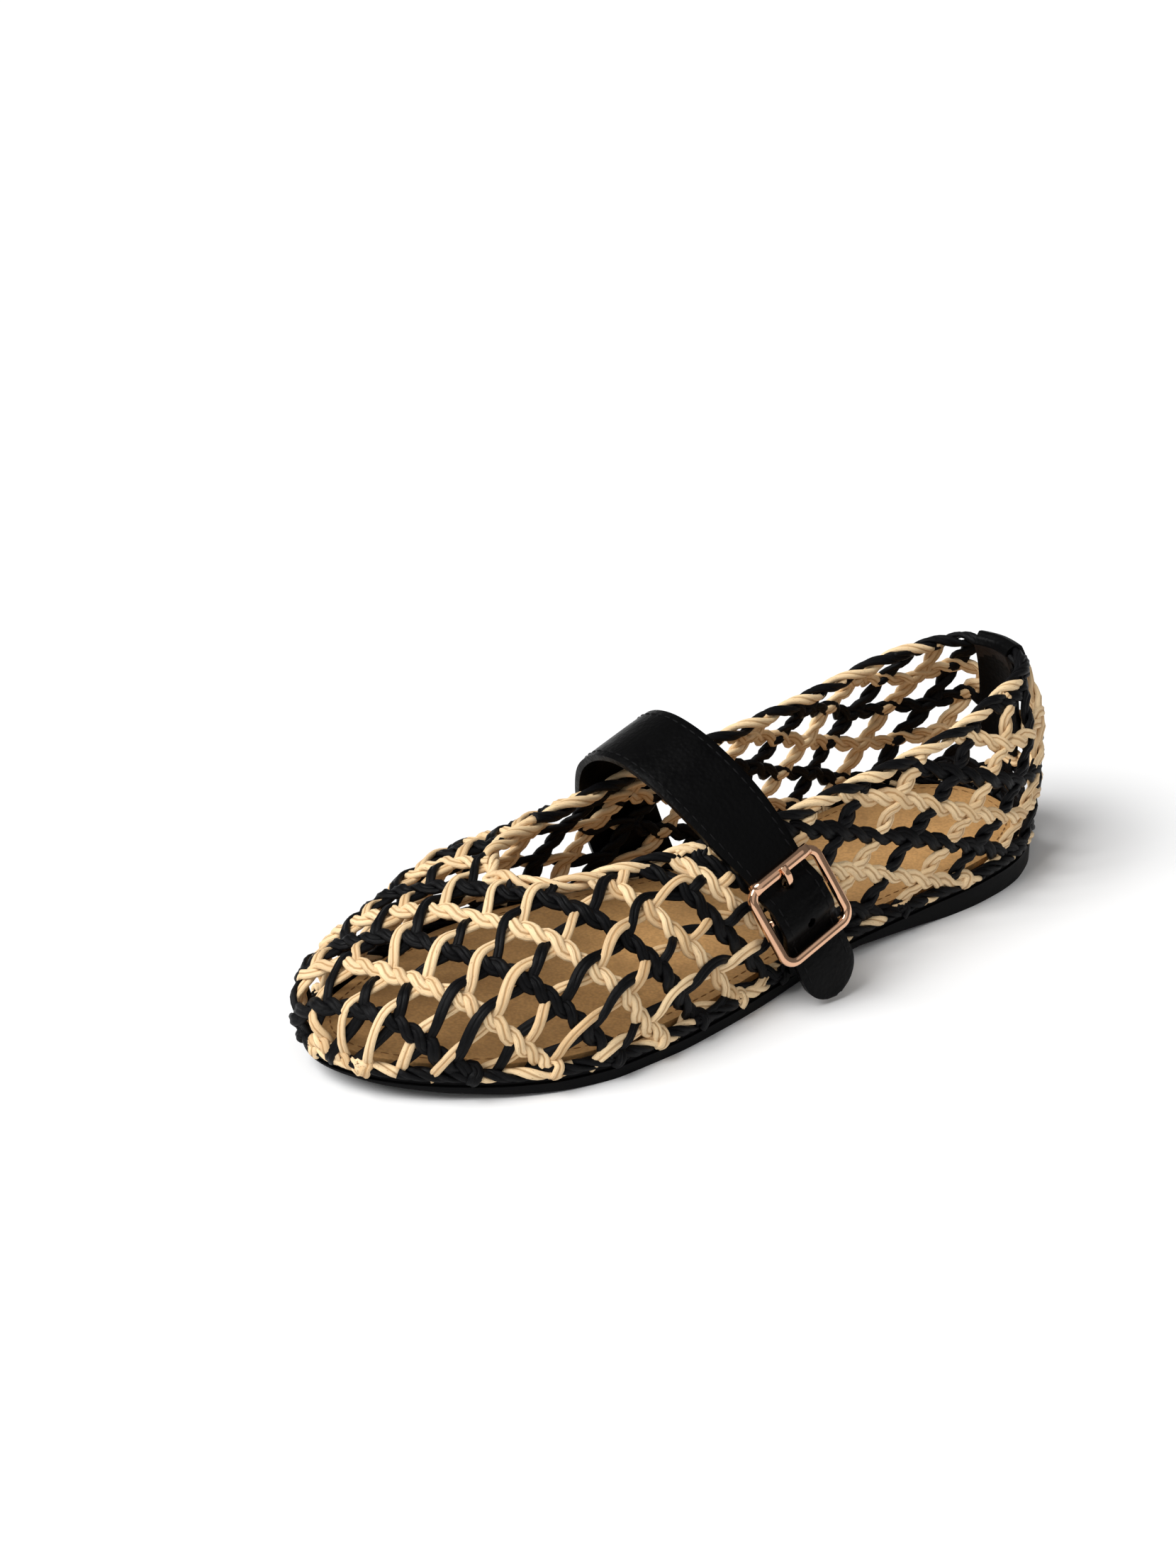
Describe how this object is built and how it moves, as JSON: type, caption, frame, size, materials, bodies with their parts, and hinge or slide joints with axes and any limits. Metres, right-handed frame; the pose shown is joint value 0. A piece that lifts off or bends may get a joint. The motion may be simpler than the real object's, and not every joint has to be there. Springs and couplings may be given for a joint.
{
  "type": "strappy flat shoe",
  "caption": "Low women's flat with an openwork net upper of twisted raffia, rounded toe, thin sole, and one leather strap over the instep fastened by a square buckle.",
  "frame": {"origin": "on the floor under the middle of the forefoot's flat spot", "axes": "toe along -Y, heel along +Y, outer side with the buckle +X, up +Z"},
  "size_m": [0.0905, 0.2428, 0.0667],
  "materials": {
    "raffia": "satin twisted straw, natural and black",
    "sole_black": "matt black",
    "rand_black": "matt black edge",
    "insole_tan": "smooth tan",
    "strap_black": "soft black leather with fine grain",
    "buckle_gold": "polished rose gold"
  },
  "bodies": {
    "root": {"outsole": "sole_black", "midsole": "rand_black", "insole": "insole_tan", "upper": "raffia", "strap": "strap_black", "buckle_chape": "strap_black", "heel_tab": "strap_black", "buckle_frame": "buckle_gold", "buckle_bar": "buckle_gold", "buckle_prong": "buckle_gold"}
  },
  "joints": []
}
